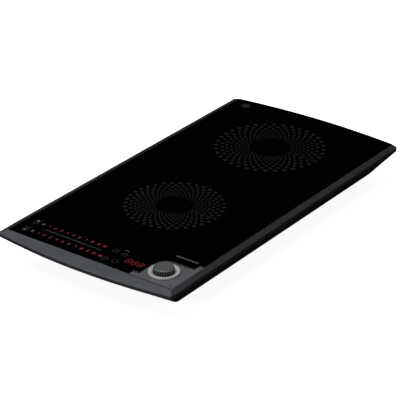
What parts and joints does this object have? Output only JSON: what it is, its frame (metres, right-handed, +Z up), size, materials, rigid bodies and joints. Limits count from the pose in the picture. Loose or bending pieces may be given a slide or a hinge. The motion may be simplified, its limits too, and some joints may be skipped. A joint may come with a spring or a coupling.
{
  "type": "portable induction cooktop",
  "caption": "Low tabletop induction cooktop with round dotted zones in line, a black glass top in a grey frame, a rotary knob in a corner plate and a tapered black tray.",
  "frame": {"origin": "centre of the bounding box's bottom face, on the plane the feet stand on", "axes": "+Z up; +Y from the control edge to the back edge; +X to the right as seen from the control edge"},
  "size_m": [0.319, 0.618, 0.0693],
  "materials": {
    "glass_black": "polished black glass-ceramic",
    "frame_grey": "satin dark grey paint",
    "plate_grey": "satin dark grey paint",
    "satin_silver": "satin turned",
    "dark_chrome": "dark chrome plating",
    "tray_black": "fine matt grain",
    "rubber": "matt",
    "silicone": "matt silicone",
    "steel": "zinc plated",
    "copper": "enamelled copper wire",
    "mica": "pressed mica",
    "ferrite": "sintered",
    "board_green": "solder mask over fibreglass",
    "component_black": "moulded",
    "carrier": "moulded heat-resistant plastic",
    "aluminium": "extruded",
    "white_plastic": "moulded",
    "cap_yellow": "potted box",
    "ribbon": "flat cable sleeve",
    "lead": "silicone wire insulation"
  },
  "bodies": {
    "base": {"bottom_housing": "tray_black", "bridge_rectifier": "component_black", "coil_carrier_front": "carrier", "coil_carrier_rear": "carrier", "coil_leads_front": "lead", "coil_leads_rear": "lead", "coil_winding_front": "copper", "coil_winding_rear": "copper", "control_board": "board_green", "cord_gland": "component_black", "display_module": "component_black", "encoder_body": "steel", "encoder_nut": "steel", "fan_housing_front": "component_black", "fan_housing_rear": "component_black", "ferrite_bar_front_1": "ferrite", "ferrite_bar_front_2": "ferrite", "ferrite_bar_front_3": "ferrite", "ferrite_bar_front_4": "ferrite", "ferrite_bar_rear_1": "ferrite", "ferrite_bar_rear_2": "ferrite", "ferrite_bar_rear_3": "ferrite", "ferrite_bar_rear_4": "ferrite", "filter_capacitor": "cap_yellow", "filter_choke": "copper", "foot_front_left": "rubber", "foot_front_right": "rubber", "foot_rear_left": "rubber", "foot_rear_right": "rubber", "glass_seal": "silicone", "heatsink_front": "aluminium", "heatsink_rear": "aluminium", "housing_screw_1": "steel", "housing_screw_2": "steel", "housing_screw_3": "steel", "housing_screw_4": "steel", "housing_screw_5": "steel", "housing_screw_6": "steel", "igbt_front": "component_black", "igbt_rear": "component_black", "key_light_guide": "white_plastic", "knob_plate": "plate_grey", "knob_ring": "satin_silver", "mains_terminal": "white_plastic", "mica_sheet_front": "mica", "mica_sheet_rear": "mica", "pan_sensor_front": "white_plastic", "pan_sensor_rear": "white_plastic", "power_board": "board_green", "resonance_capacitor_front": "cap_yellow", "resonance_capacitor_rear": "cap_yellow", "ribbon_cable": "ribbon", "top_frame": "frame_grey", "top_glass": "glass_black"},
    "knob": {"knob": "dark_chrome", "encoder_shaft": "aluminium"},
    "fan_front": {"fan_rotor_front": "component_black"},
    "fan_rear": {"fan_rotor_rear": "component_black"}
  },
  "joints": [
    {"name": "knob_turn", "type": "hinge", "parent": "base", "child": "knob", "pos_m": [0.1115, -0.2511, 0.06], "axis": [0, 0, 1], "continuous": true},
    {"name": "fan_front_spin", "type": "hinge", "parent": "base", "child": "fan_front", "pos_m": [-0.066, -0.02, 0.014], "axis": [0, 0, 1], "continuous": true},
    {"name": "fan_rear_spin", "type": "hinge", "parent": "base", "child": "fan_rear", "pos_m": [-0.066, 0.075, 0.014], "axis": [0, 0, 1], "continuous": true}
  ]
}
